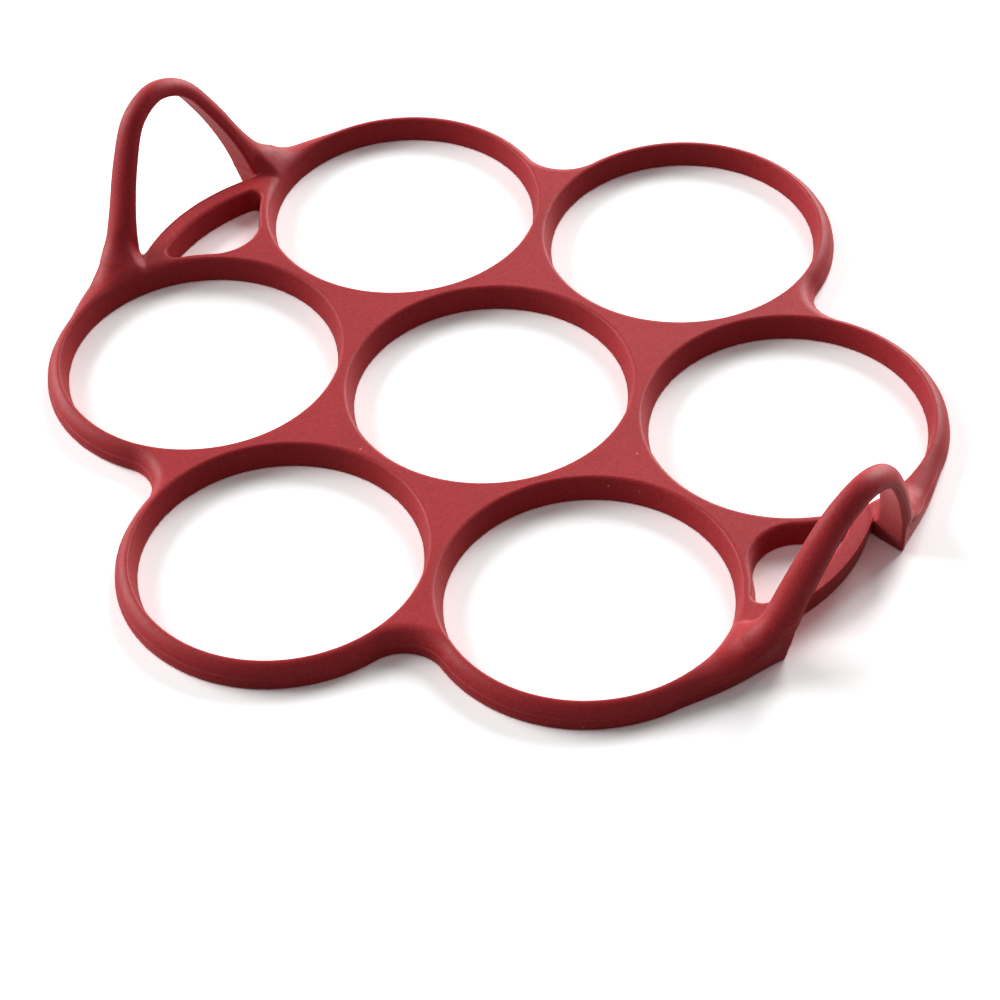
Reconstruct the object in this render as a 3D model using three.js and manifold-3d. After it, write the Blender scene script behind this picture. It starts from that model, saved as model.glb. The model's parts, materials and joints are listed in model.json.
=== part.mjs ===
// A tray of seven silicone egg rings with two lift handles, cut into the members of its moulding.
//
// Frame: +Z up, the floor at z = 0, the origin under the axis of the middle ring. The six outer
// rings stand at 30, 90, 150, 210, 270 and 330 degrees round it, and the handles at the ends of X.
// One silicone body is made whole, and flat cuts then part it into rings, webs, bridges, feet,
// necks and loops, which meet face to face.

import * as THREE from "three";
import { mergeVertices } from "three/addons/utils/BufferGeometryUtils.js";
import Module from "manifold-3d";

const wasm = await Module();
wasm.setup();

// Rings, in millimetres
const bore_radius = 21.45; // of a ring's bore, at the floor
const shared_wall = 4.1; // between two neighbouring bores, at the floor
const rim_width = 3.5; // from the bore at the floor to the free rim's widest place
const tray_height = 4;
const parting_height = 0.8; // of the mould's parting line, where the free rim is widest
const rim_floor_inset = 0.7; // how far the free rim draws in below the parting line
const bore_round = 1; // radius of the bores' top edges
const rim_round = 1.2; // radius of the free rims' top edge
const notch_radius = 6.5; // of the hollow corner between two outer rims
const web_land = 2.8; // from a bore at the floor to the flat cut where a web starts
const bore_draft = THREE.MathUtils.degToRad(15);
const rim_draft = THREE.MathUtils.degToRad(18);

// Bridges and windows between the feet of a handle
const bridge_radius = 32; // of the bridge's outer wall
const bridge_width = 3.65; // at the floor
const bridge_bow = 0.6; // of the bridge's outer wall past the middle of the legs
const window_wall = 3.05; // between a bore and the window, at the floor
const window_tip_radius = 6.9; // at the floor, between two rings
const window_corner_radius = 1.05; // at the floor, between a ring and the bridge
const window_round = 0.8; // radius of the window's top edge
const window_draft = THREE.MathUtils.degToRad(9);

// Handles
const leg_standoff = 1.5; // of the legs' middle from the rims' widest place, along X
const leg_drop = 7.95; // of the legs' middle from the axis of the ring beside it, along Y
const handle_lean = THREE.MathUtils.degToRad(11.9); // outwards from upright
const arch_height = 27; // of the loop's centre line, along its lean
const leg_width = 5.7; // across the loop's plane, at the floor
const leg_thickness = 3.1; // in the loop's plane, at the floor
const crown_width = 3.9; // across the loop's plane, at the top
const crown_thickness = 2.7; // in the loop's plane, at the top
const flare_start = 3; // height of the foot of the fillet from a leg's outer side to the tray
const flare_height = 11;
const flare_reach = 5.5; // of the fillet away from the leg, at its foot
const foot_reach = 3.2; // of a foot's outer corner from the legs' middle, along X
const foot_corner_round = 0.8;
const foot_height = 5.8; // along the lean, where the neck starts
const neck_length = 6; // along the lean

// Shares: of the loop's centre line, its section, and the cutters
const arch_spread_shares = [1, 0.858, 0.6, 0.342]; // half widths, of the half width at the floor
const arch_height_shares = [0, 0.35, 0.7, 0.92]; // their heights, of the arch's height
const section_flat_share = 0.75; // of the width that the inner face's flat takes
const section_corner_share = 0.22; // of the thickness that the inner face's corners take
const section_shoulder_share = 0.4; // of the thickness below the domed outer side
const flare_shift_share = 0.1; // how far the fillet leans away from the tray, of its growth
const repeat_share = 0.001; // of the parting height: outline points nearer than that are one
const far_share = 6; // of the ring pitch: the reach of the cutters past the whole tray

// Counts
const outer_rings = 6;
const ring_sides = 48;
const round_steps = 3;
const arch_steps = 39; // odd, so that a flat facet lies at the crown
const dome_steps = 8;
const bridge_steps = 10;
const corner_steps = 3;
const notch_steps = 8;

// Worked out from the sizes above
const overrun = tray_height; // of every cutter past the faces that it cuts
const ring_pitch = 2 * bore_radius + shared_wall;
const rim_radius = bore_radius + rim_width;
const quarter = Math.PI / 2;
const sixth = Math.PI / 3;
const ring_step = (2 * Math.PI) / ring_sides;
const ring_x = ring_pitch * Math.cos(sixth / 2); // of the four rings beside the handles
const ring_y = ring_pitch / 2;
const leg_x = ring_x + rim_radius + leg_standoff;
const leg_y = ring_y - leg_drop;
const face_y = leg_y - leg_thickness / 2; // of the feet's flat inner faces
const bridge_x = leg_x + bridge_bow - bridge_radius; // centre of the bridge's arcs
const window_wall_radius = bore_radius + window_wall;
const web_cut = bore_radius + web_land;
const neck_top = foot_height + neck_length;
const far = far_share * ring_pitch;

const silicone = new THREE.MeshStandardMaterial({
  color: 0xa33439,
  roughness: 0.62,
  metalness: 0,
});

function point(x, y) {
  return new THREE.Vector2(x, y);
}

function polar(angle, radius) {
  return point(radius * Math.cos(angle), radius * Math.sin(angle));
}

function angle_from(origin, target) {
  return Math.atan2(target.y - origin.y, target.x - origin.x);
}

// The meeting place, on the side of +X, of circles round two points.
function circles_meet(first, first_radius, second, second_radius) {
  const span = second.clone().sub(first);
  const distance = span.length();
  const along = (distance ** 2 + first_radius ** 2 - second_radius ** 2) / (2 * distance);
  const across = Math.sqrt(first_radius ** 2 - along ** 2);
  span.normalize();
  const foot = first.clone().addScaledVector(span, along);
  const side = point(span.y, -span.x);
  return foot.addScaledVector(side, Math.sign(side.x) * across);
}

// The insets and heights of a drafted wall with a rounded top edge, from a height up to the top.
function drafted_edge(start_height, draft, round) {
  const round_height = tray_height - round * (1 - Math.sin(draft));
  const round_inset = (round_height - start_height) * Math.tan(draft);
  const levels = [{ inset: 0, height: start_height }];
  for (let step = 0; step <= round_steps; step += 1) {
    const turn = draft + ((quarter - draft) * step) / round_steps;
    levels.push({
      inset: round_inset + round * (Math.cos(draft) - Math.cos(turn)),
      height: tray_height - round * (1 - Math.sin(turn)),
    });
  }
  return levels;
}

// An outline's points along an arc, each with the unit direction in which its wall draws in and
// the share of the wall's inset that it takes. Hollow arcs grow as they draw in.
function arc(centre, radius, from, to, steps, hollow = false) {
  const points = [];
  for (let step = 0; step <= steps; step += 1) {
    const angle = from + ((to - from) * step) / steps;
    points.push({
      place: centre.clone().add(polar(angle, radius)),
      inward: polar(angle, hollow ? 1 : -1),
      share: 1,
    });
  }
  return points;
}

function mirrored(points, x_sign, y_sign) {
  return points.map(({ place, inward, share }) => ({
    place: point(place.x * x_sign, place.y * y_sign),
    inward: point(inward.x * x_sign, inward.y * y_sign),
    share,
  }));
}

function without_repeats(points) {
  const least = repeat_share * parting_height;
  return points.filter((entry, index) => {
    const next = points[(index + 1) % points.length];
    return entry.place.distanceTo(next.place) > least;
  });
}

// The centre of the rounded corner at the free end of the foot at +X and +Y.
function foot_corner() {
  return point(leg_x + foot_reach - foot_corner_round, face_y + foot_corner_round);
}

// The direction that the foot's straight side faces, which is tangent to the rim and the corner.
function foot_side_angle() {
  const beside = point(ring_x, ring_y);
  const corner = foot_corner();
  const turn = Math.acos((rim_radius - foot_corner_round) / beside.distanceTo(corner));
  return angle_from(beside, corner) + turn;
}

// A quarter of the tray's outline at the parting line, from the +X end to the +Y end.
function outline_quadrant() {
  const bridge_centre = point(bridge_x, 0);
  const beside = point(ring_x, ring_y);
  const behind = point(0, ring_pitch);
  const bridge_turn = Math.asin(face_y / bridge_radius);
  const bridge_arc = arc(bridge_centre, bridge_radius, 0, bridge_turn, bridge_steps);
  bridge_arc.forEach((entry) => (entry.share = 0));

  const corner = foot_corner();
  const tangent_angle = foot_side_angle();
  const corner_arc = arc(corner, foot_corner_round, -quarter, tangent_angle, corner_steps);
  corner_arc.forEach((entry) => (entry.share = 0));

  const notch = circles_meet(beside, rim_radius + notch_radius, behind, rim_radius + notch_radius);
  const to_notch = angle_from(beside, notch);
  const beside_steps = Math.round((to_notch - tangent_angle) / ring_step);
  const beside_arc = arc(beside, rim_radius, tangent_angle, to_notch, beside_steps);

  const notch_from = angle_from(notch, beside);
  const notch_to = angle_from(notch, behind);
  const notch_arc = arc(notch, notch_radius, notch_from + 2 * Math.PI, notch_to + 2 * Math.PI,
    notch_steps, true);

  const from_notch = angle_from(behind, notch);
  const behind_steps = Math.round((quarter - from_notch) / ring_step);
  const behind_arc = arc(behind, rim_radius, from_notch, quarter, behind_steps);
  return [...bridge_arc, ...corner_arc, ...beside_arc, ...notch_arc, ...behind_arc];
}

function whole_outline(quadrant) {
  const back = [...quadrant, ...mirrored(quadrant, -1, 1).reverse()];
  const front = mirrored(back, 1, -1).reverse();
  return without_repeats([...back, ...front]);
}

// The centre of the window's rounded corner between the bridge and the ring at +Y.
function window_corner() {
  const inner_radius = bridge_radius - bridge_width;
  return circles_meet(point(bridge_x, 0), inner_radius - window_corner_radius,
    point(ring_x, ring_y), window_wall_radius + window_corner_radius);
}

// Half of a window's outline at the floor, on the side of +Y: from the bridge to the tip.
function window_half() {
  const bridge_centre = point(bridge_x, 0);
  const beside = point(ring_x, ring_y);
  const inner_radius = bridge_radius - bridge_width;
  const corner = window_corner();
  const tip_span = window_wall_radius + window_tip_radius;
  const tip = point(ring_x + Math.sqrt(tip_span ** 2 - ring_y ** 2), 0);
  const corner_angle = angle_from(bridge_centre, corner);
  return [
    ...arc(bridge_centre, inner_radius, 0, corner_angle, corner_steps, true),
    ...arc(corner, window_corner_radius, corner_angle, angle_from(corner, beside),
      corner_steps + 1, true),
    ...arc(beside, window_wall_radius, angle_from(beside, corner), angle_from(beside, tip),
      corner_steps),
    ...arc(tip, window_tip_radius, angle_from(tip, beside), Math.PI, corner_steps + 1, true),
  ];
}

function whole_window() {
  const half = window_half();
  return without_repeats([...half, ...mirrored(half, 1, -1).reverse()]);
}

// A closed mesh through rings of points. The section is a plane outline with the same points.
function loft(rings, section) {
  const count = section.length;
  const positions = rings.flat().flatMap((corner) => [corner.x, corner.y, corner.z]);
  const faces = [];
  for (let level = 0; level + 1 < rings.length; level += 1) {
    for (let index = 0; index < count; index += 1) {
      const a = level * count + index;
      const b = level * count + ((index + 1) % count);
      faces.push([a, b, b + count], [a, b + count, a + count]);
    }
  }
  const last = (rings.length - 1) * count;
  for (const [a, b, c] of THREE.ShapeUtils.triangulateShape(section, [])) {
    faces.push([a, c, b], [last + a, last + b, last + c]);
  }
  const geometry = new THREE.BufferGeometry();
  geometry.setAttribute("position", new THREE.Float32BufferAttribute(positions, 3));
  geometry.setIndex(faces.flat());
  return geometry;
}

function level_ring(outline, inset, height) {
  return outline.map(({ place, inward, share }) => {
    const moved = place.clone().addScaledVector(inward, inset * share);
    return new THREE.Vector3(moved.x, moved.y, height);
  });
}

function solid(geometry) {
  const bare = geometry.clone();
  bare.deleteAttribute("normal");
  bare.deleteAttribute("uv");
  const merged = mergeVertices(bare);
  return new wasm.Manifold(new wasm.Mesh({
    numProp: 3,
    vertProperties: merged.attributes.position.array,
    triVerts: new Uint32Array(merged.index.array),
  }));
}

// An upright prism over a plane outline, well past the tray's floor and the handles' tops.
function prism(corners) {
  const geometry = new THREE.ExtrudeGeometry(new THREE.Shape(corners), {
    depth: far,
    bevelEnabled: false,
  });
  return solid(geometry.translate(0, 0, -far / 2));
}

// The plane region on one side of a line: outward is the direction from the centre to the line.
function half_plane(centre, direction, distance, beyond = false) {
  const along = polar(direction, 1);
  const across = polar(direction + quarter, 1);
  const near = centre.clone().addScaledVector(along, distance);
  const deep = near.clone().addScaledVector(along, beyond ? far : -far);
  const corners = [
    near.clone().addScaledVector(across, -far),
    deep.clone().addScaledVector(across, -far),
    deep.clone().addScaledVector(across, far),
    near.clone().addScaledVector(across, far),
  ];
  return prism(beyond ? corners : corners.reverse());
}

function all_of(first, ...rest) {
  return rest.reduce((kept, next) => kept.intersect(next), first);
}

function tray_blank() {
  const outline = whole_outline(outline_quadrant());
  const levels = [
    { inset: rim_floor_inset, height: 0 },
    ...drafted_edge(parting_height, rim_draft, rim_round),
  ];
  const rings = levels.map(({ inset, height }) => level_ring(outline, inset, height));
  return solid(loft(rings, outline.map(({ place }) => place)));
}

function bore_cutter(centre) {
  const levels = drafted_edge(0, bore_draft, bore_round);
  const top = levels[levels.length - 1];
  const profile = [
    point(0, -overrun),
    point(bore_radius, -overrun),
    ...levels.map(({ inset, height }) => point(bore_radius + inset, height)),
    point(bore_radius + top.inset, tray_height + overrun),
    point(0, tray_height + overrun),
  ];
  const geometry = new THREE.LatheGeometry(profile, ring_sides);
  geometry.rotateX(quarter);
  return solid(geometry.translate(centre.x, centre.y, 0));
}

function window_cutter() {
  const outline = whole_window();
  const levels = drafted_edge(0, window_draft, window_round);
  const top = levels[levels.length - 1];
  const rings = [
    level_ring(outline, 0, -overrun),
    ...levels.map(({ inset, height }) => level_ring(outline, inset, height)),
    level_ring(outline, top.inset, tray_height + overrun),
  ];
  return solid(loft(rings, outline.map(({ place }) => place)));
}

// The loop's centre line in its own plane: x along Y, y up the lean, from below one foot to
// below the other.
function arch_curve() {
  const half = arch_spread_shares.map((share, index) => (
    point(share * leg_y, arch_height_shares[index] * arch_height)
  ));
  const below = half[0].clone().multiplyScalar(2).sub(half[1]);
  const right = [below, ...half];
  const left = right.map(({ x, y }) => point(-x, y)).reverse();
  const places = [...right, point(0, arch_height), ...left];
  return new THREE.CatmullRomCurve3(
    places.map(({ x, y }) => new THREE.Vector3(x, y, 0)),
    false,
    "centripetal",
  );
}

// A leg's section: a flat inner face, and a domed outer side. x is across the loop's plane,
// y is outwards in it. Growth lengthens the outer side, for the fillet at the foot, which the
// foot's straight side trims.
function leg_section(width, thickness, growth) {
  const inner = -thickness / 2;
  const corner = inner + section_corner_share * thickness;
  const shoulder = inner + section_shoulder_share * thickness;
  const flat = (section_flat_share * width) / 2;
  const reach = thickness / 2 - shoulder + growth;
  const side_slope = Math.tan(foot_side_angle());
  const section = [point(-flat, inner), point(flat, inner), point(width / 2, corner)];
  for (let step = 0; step <= dome_steps; step += 1) {
    const angle = (Math.PI * step) / dome_steps;
    const rise = Math.sin(angle);
    const y = shoulder + reach * rise;
    const x = (width / 2) * Math.cos(angle) + flare_shift_share * growth * rise;
    section.push(point(Math.min(x, foot_reach - side_slope * (y - inner)), y));
  }
  section.push(point(-width / 2, corner));
  return section;
}

function flare_at(height) {
  const rise = THREE.MathUtils.clamp((height - flare_start) / flare_height, 0, 1);
  return flare_reach * (1 - Math.sqrt(1 - (1 - rise) ** 2));
}

// The frame of a leaning handle: its plane through the legs, leaning away from the tray.
function handle_frame() {
  return new THREE.Matrix4().makeRotationY(handle_lean).setPosition(leg_x, 0, 0);
}

function arch() {
  const curve = arch_curve();
  const rings = [];
  for (let step = 0; step <= arch_steps; step += 1) {
    const place = curve.getPointAt(step / arch_steps);
    const along = curve.getTangentAt(step / arch_steps);
    const share = THREE.MathUtils.clamp(place.y / arch_height, 0, 1);
    const width = THREE.MathUtils.lerp(leg_width, crown_width, share);
    const thickness = THREE.MathUtils.lerp(leg_thickness, crown_thickness, share);
    const outward = point(along.y, -along.x);
    rings.push(leg_section(width, thickness, flare_at(place.y)).map(({ x, y }) => (
      new THREE.Vector3(x, place.x + outward.x * y, place.y + outward.y * y)
    )));
  }
  const section = leg_section(leg_width, leg_thickness, 0);
  return solid(loft(rings, section).applyMatrix4(handle_frame()));
}

// The space above a height along the lean of the handle at the +X end.
function above(height) {
  const box = new THREE.BoxGeometry(far, far, far).translate(0, 0, far / 2 + height);
  return solid(box.applyMatrix4(handle_frame()));
}

// The other end of the tray is the same, turned half round.
function turned(body) {
  return body.rotate([0, 0, 180]);
}

function ring_centre(angle) {
  return polar(angle, ring_pitch);
}

function whole_body() {
  const centres = [point(0, 0)];
  for (let index = 0; index < outer_rings; index += 1) {
    centres.push(ring_centre(sixth * (index + 0.5)));
  }
  const loop = arch();
  const floor = solid(new THREE.BoxGeometry(far, far, far).translate(0, 0, far / 2));
  let body = tray_blank().add(loop).add(turned(loop)).intersect(floor);
  const window = window_cutter();
  body = body.subtract(window).subtract(turned(window));
  return centres.reduce((kept, centre) => kept.subtract(bore_cutter(centre)), body);
}

const body = whole_body();
const handle_space = above(foot_height);
const tray_space = handle_space.add(turned(handle_space));
const tray_body = body.subtract(tray_space);

// The flat cuts between the members, as upright prisms. A foot is cut from its ring along the
// line from the window's corner to the place where the foot's straight side leaves the rim.
const beside = ring_centre(sixth / 2);
const beside_front = ring_centre(-sixth / 2);
const corner = window_corner();
const side_start = beside.clone().add(polar(foot_side_angle(), rim_radius));
const foot_cut_angle = angle_from(corner, side_start) - quarter;
const past_foot_cut = half_plane(corner, foot_cut_angle, 0, true);
const foot_region = past_foot_cut.intersect(half_plane(point(0, 0), quarter, corner.y, true));
const bridge_region = all_of(
  past_foot_cut,
  past_foot_cut.mirror([0, 1, 0]),
  half_plane(point(0, 0), quarter, corner.y),
  half_plane(point(0, 0), -quarter, corner.y),
);
const window_middle = bridge_x + bridge_radius - bridge_width - window_tip_radius;
const end_web_region = all_of(
  half_plane(beside, -sixth, web_cut, true),
  half_plane(beside_front, sixth, web_cut, true),
  half_plane(point(0, 0), 0, window_middle),
);

function web_region(angle) {
  return all_of(
    half_plane(point(0, 0), angle, web_cut, true),
    half_plane(ring_centre(angle + sixth / 2), angle + 4 * sixth, web_cut, true),
    half_plane(ring_centre(angle - sixth / 2), angle - 4 * sixth, web_cut, true),
  );
}

function middle_ring_region() {
  const cuts = [];
  for (let index = 0; index < outer_rings; index += 1) {
    cuts.push(half_plane(point(0, 0), sixth * (index + 0.5), ring_pitch / 2));
    cuts.push(half_plane(point(0, 0), sixth * index, web_cut));
  }
  return all_of(...cuts);
}

function outer_ring_region(angle) {
  const centre = ring_centre(angle);
  const inwards = angle + Math.PI;
  return all_of(
    half_plane(centre, inwards, ring_pitch / 2),
    half_plane(centre, inwards + sixth, ring_pitch / 2),
    half_plane(centre, inwards - sixth, ring_pitch / 2),
    half_plane(centre, inwards + sixth / 2, web_cut),
    half_plane(centre, inwards - sixth / 2, web_cut),
  );
}

// A named mesh whose own origin is a place on the part
function member(name, piece, origin) {
  const mesh = piece.getMesh();
  const indexed = new THREE.BufferGeometry();
  indexed.setAttribute("position", new THREE.BufferAttribute(mesh.vertProperties, 3));
  indexed.setIndex(new THREE.BufferAttribute(mesh.triVerts, 1));
  indexed.translate(-origin.x, -origin.y, -origin.z);
  const geometry = indexed.toNonIndexed();
  geometry.computeVertexNormals();
  const result = new THREE.Mesh(geometry, silicone);
  result.name = name;
  result.position.copy(origin);
  return result;
}

function on_floor({ x, y }) {
  return new THREE.Vector3(x, y, 0);
}

function rings() {
  const group = new THREE.Group();
  const middle = tray_body.intersect(middle_ring_region());
  group.add(member("egg_ring_centre", middle, on_floor(point(0, 0))));
  const names = ["right_back", "back", "left_back", "left_front", "front", "right_front"];
  const ends = [foot_region, bridge_region, end_web_region]
    .flatMap((region) => [region, region.mirror([0, 1, 0])])
    .flatMap((region) => [region, turned(region)]);
  names.forEach((name, index) => {
    const angle = sixth * (index + 0.5);
    const whole = tray_body.intersect(outer_ring_region(angle));
    const piece = ends.reduce((kept, region) => kept.subtract(region), whole);
    group.add(member(`egg_ring_${name}`, piece, on_floor(ring_centre(angle))));
  });
  return group;
}

function webs() {
  const group = new THREE.Group();
  const names = ["right", "right_back", "left_back", "left", "left_front", "right_front"];
  names.forEach((name, index) => {
    const angle = sixth * index;
    const place = polar(angle, ring_pitch / Math.sqrt(3));
    group.add(member(`web_${name}`, tray_body.intersect(web_region(angle)), on_floor(place)));
  });
  return group;
}

function tray_end(side, turn) {
  const group = new THREE.Group();
  const sign = turn ? -1 : 1;
  const placed = (region) => tray_body.intersect(turn ? turned(region) : region);
  const back = turn ? foot_region.mirror([0, 1, 0]) : foot_region;
  const front = turn ? foot_region : foot_region.mirror([0, 1, 0]);
  const foot_x = sign * leg_x;
  group.add(
    member(`end_web_${side}`, placed(end_web_region), on_floor(point(sign * ring_x, 0))),
    member(`bridge_${side}`, placed(bridge_region), on_floor(point(sign * bridge_x, 0))),
    member(`handle_foot_${side}_back`, placed(back), on_floor(point(foot_x, leg_y))),
    member(`handle_foot_${side}_front`, placed(front), on_floor(point(foot_x, -leg_y))),
  );
  return group;
}

function handle(side, turn) {
  const group = new THREE.Group();
  const placed = (piece) => (turn ? turned(piece) : piece);
  const raised = body.intersect(placed(handle_space));
  const loop_space = placed(above(neck_top));
  const necks = raised.subtract(loop_space);
  const behind = half_plane(point(0, 0), quarter, 0, true);
  const sign = turn ? -1 : 1;
  const hinge = new THREE.Vector3(
    sign * (leg_x + (foot_height + neck_length / 2) * Math.sin(handle_lean)),
    0,
    (foot_height + neck_length / 2) * Math.cos(handle_lean),
  );
  group.add(
    member(`handle_neck_${side}_back`, necks.intersect(behind), hinge),
    member(`handle_neck_${side}_front`, necks.subtract(behind), hinge),
    member(`handle_loop_${side}`, raised.intersect(loop_space), hinge),
  );
  return group;
}

const egg_ring_tray = new THREE.Group();
egg_ring_tray.add(
  rings(),
  webs(),
  tray_end("right", false),
  tray_end("left", true),
  handle("right", false),
  handle("left", true),
);

export default egg_ring_tray;
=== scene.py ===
import json
import math

import bmesh
import bpy
import numpy as np
from mathutils import Matrix, Vector


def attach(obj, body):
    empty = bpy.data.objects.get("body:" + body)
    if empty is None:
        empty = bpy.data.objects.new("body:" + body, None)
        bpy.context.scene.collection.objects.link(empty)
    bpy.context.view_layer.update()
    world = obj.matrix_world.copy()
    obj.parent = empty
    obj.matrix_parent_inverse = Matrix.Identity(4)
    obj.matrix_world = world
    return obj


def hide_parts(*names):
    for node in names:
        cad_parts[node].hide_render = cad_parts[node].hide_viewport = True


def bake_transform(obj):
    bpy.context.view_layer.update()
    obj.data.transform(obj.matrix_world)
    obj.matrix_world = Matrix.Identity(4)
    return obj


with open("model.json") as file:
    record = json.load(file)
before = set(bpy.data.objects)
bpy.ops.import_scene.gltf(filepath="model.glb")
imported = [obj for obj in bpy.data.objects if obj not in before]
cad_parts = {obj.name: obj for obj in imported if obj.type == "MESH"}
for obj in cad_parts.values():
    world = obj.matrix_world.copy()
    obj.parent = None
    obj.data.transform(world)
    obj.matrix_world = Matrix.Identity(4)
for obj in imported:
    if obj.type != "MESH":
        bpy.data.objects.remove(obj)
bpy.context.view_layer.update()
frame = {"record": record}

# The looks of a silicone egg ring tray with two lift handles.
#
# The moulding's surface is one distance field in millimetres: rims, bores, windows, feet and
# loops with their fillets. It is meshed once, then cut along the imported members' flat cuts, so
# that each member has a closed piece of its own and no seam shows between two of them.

MM = 0.001  # metres in a millimetre

# Rings, in millimetres
bore_radius = 21.45  # of a ring's bore, at the floor
shared_wall = 4.1  # between two neighbouring bores, at the floor
rim_width = 3.5  # from the bore at the floor to the free rim's widest place
tray_height = 4.0
parting_height = 1.9  # of the mould's parting line on the free rims
rim_climb = 1.1  # how far the parting line climbs along a foot's outer side at first
foot_climb = 2.75  # and then towards the foot's corner
climb_turn_share = 0.69  # where along the side the second climb starts
foot_bulge = 0.5  # of a foot's outer side past its straight line, halfway along
rim_floor_inset = 0.12  # how far the free rim draws in below the parting line
foot_floor_inset = 0.7  # and a foot's corner
wall_release = 0.35  # how fast the wall at a foot's corner swings outwards above that line
release_start = 11.0  # the way along a foot's side where the wall starts to turn outwards
release_length = 6.0
bore_round = 0.4  # radius of the bores' top edges
foot_bore_round = 1.2  # and beside a leg
foot_bore_reach = 13.0  # from the legs' middle to where that radius has faded away
foot_bore_fade = 1.5  # how steeply it fades, so that the first third of that way keeps it
rim_round = 2.0  # radius of the free rims' top edge
foot_round = 3.0  # radius of the feet's top edge
foot_round_length = 10.0  # the way along a foot's side in which the one radius becomes the other
flare_round = 1.2  # radius between a leg's flare and the wall beside the rim
corner_round = 0.4  # and where the wall has turned outwards
edge_round = 0.2  # radius of the crisp edges
notch_radius = 6.5  # of the hollow corner between two outer rims
web_land = 2.8  # from a bore at the floor to the flat cut where a web starts
bore_draft = math.radians(15)
rim_draft = math.radians(18)

# Bridges and windows between the feet of a handle, in millimetres
bridge_radius = 32.0  # of the bridge's outer wall
bridge_width = 3.65  # at the floor
bridge_bow = 0.6  # of the bridge's outer wall past the middle of the legs
bridge_top_inset = 0.2  # of the wall's top edge
bridge_floor_inset = 0.7  # of the wall at the floor
window_wall = 3.05  # between a bore and the window, at the floor
window_tip_radius = 6.9  # at the floor, between two rings
window_corner_radius = 1.05  # at the floor, between a ring and the bridge
window_round = 0.5  # radius of the window's top edge
window_draft = math.radians(9)

# Handles, in millimetres
leg_standoff = 1.5  # of the legs' middle from the rims' widest place, along X
leg_drop = 7.95  # of the legs' middle from the axis of the ring beside it, along Y
handle_lean = math.radians(11.9)  # outwards from upright
arch_height = 26.75  # of the loop's centre line, along its lean
leg_width = 5.7  # across the loop's plane, at the floor
leg_thickness = 3.1  # in the loop's plane, at the floor
crown_width = 3.9  # across the loop's plane, at the top
crown_thickness = 2.7  # in the loop's plane, at the top
leg_corner_round = 0.6  # radius of the inner face's two edges
flare_start = 1.2  # height of the foot of the fillet from a leg's outer side to the tray
flare_low = 4.2  # height below which the fillet grows no further
flare_height = 12.8
flare_reach = 7.8  # of the fillet away from the leg, at its foot
foot_reach = 3.2  # of a foot's outer corner from the legs' middle, along X
foot_corner_round = 0.8
foot_recess = 0.05  # how far the tray's own foot lies behind a leg's inner face
foot_height = 5.8  # along the lean, where the neck starts
neck_length = 6.0  # along the lean
valley_round = 4.6  # radius between the tray's top and a leg's domed side
face_join_round = 0.3  # radius between the tray's walls and a leg's flat inner face
face_top_round = 1.4  # radius between the tray's top and a leg's flat inner face
join_turn = 3.0  # the way across a leg in which the one radius becomes the other

# Shares: of the loop's centre line and of its section
arch_spread_shares = (1, 0.858, 0.6, 0.342)  # half widths, of the half width at the floor
arch_height_shares = (0, 0.35, 0.7, 0.92)  # their heights, of the arch's height
section_shoulder_share = 0.4  # of the thickness below the domed outer side
flare_shift_share = -0.1  # how far the fillet leans away from the tray, of its growth

# Flash along the parting line, in millimetres
flash_radius = 0.17
flash_sunk = 0.08  # of its centre below the surface
flash_sides = 6
flash_step = 0.6  # between its rings
flash_top = 9.0  # height above which the lower mould's wall has ended
flash_shift = 0.7  # of the line on a loop from its centre line, towards the window
flash_inset = 1.0  # of the line on a foot's side from its corner, and above that to the leg's
flash_eases = 3  # how often the line's turns are eased

# Meshing, in millimetres
cell = 0.3
probe = 0.03  # step for the field's slopes
projections = 4  # moves of each point on to the surface
least_slope = 0.05  # squared, that such a move reckons with
batch = 200000  # places at which the field is worked out at once
grid_start = np.array([0.5, 0.5, 1.4])  # of the grid before zero, in cells
grid_margins = np.array([10, 1, 3])  # of the grid past the legs, the rims and the loops
loop_margins = (8, 9)  # of its higher part, before the legs' middle and beside it
join_margins = (12, 16)  # of the stretch of the tray that meets a leg, likewise
cut_snap = 1e-5  # distance from a flat cut at which a point is taken to lie on it
cap_reach = 1e-4  # and at which it belongs to the flat cap there

# Search along the loops' centre line
arch_steps = 60  # places in each stretch between two given points
arch_stride = 12  # every so many of them are tried first
arch_moves = 5  # moves from the best of those

# Silicone: colours in levels of 255 or as shares of a colour, scales in repeats per metre, and
# depths in metres
silicone_dark = (166, 36, 42)
silicone_light = (177, 41, 47)
cloud_scale = 45
cloud_range = (0.3, 0.7)
grain_dark = (0.8, 0.77, 0.77, 1)
grain_light = (1.15, 1.22, 1.22, 1)
grain_scale = 2600
grain_roughness = 0.8
grain_range = (0.36, 0.64)
speck_colour = (214, 130, 130)
speck_scale = 420
speck_edge = (0.06, 0.11)  # from a speck's full colour to none
speck_chance = (0.84, 0.88)  # cells below have no speck, and cells above have one
sheen_colour = (255, 170, 170)
smear_scale = 900
smear_range = (0.3, 0.75)
smoothest = 0.46
roughest = 0.58
fine_bump_scale = 4200
fine_bump_depth = 0.00004
broad_bump_scale = 260
broad_bump_depth = 0.00012
glow_depth = 0.0015  # how far light spreads below the surface

# Floor, in metres
floor_level = 0.5  # its colour
floor_seen_gain = 1.2  # added to that for the camera, which sees it overexposed
floor_fade_start = 0.13  # from the middle to where it starts to turn plain white
floor_fade_end = 0.30
floor_reach = 6.0
floor_drop = 0.00002  # below the tray's underside

# Light: one low soft lamp at the left and one at the back, in degrees, metres and watts
lamp_elevation = 21
lamp_distance = 1.6
lamp_size = 1.15
lamp_powers = {"side_left": 31.5, "side_back": 33.0}
lamp_azimuths = {"side_left": 199, "side_back": 100}  # 0 is +X and 90 is +Y
world_level = 0.15

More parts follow.
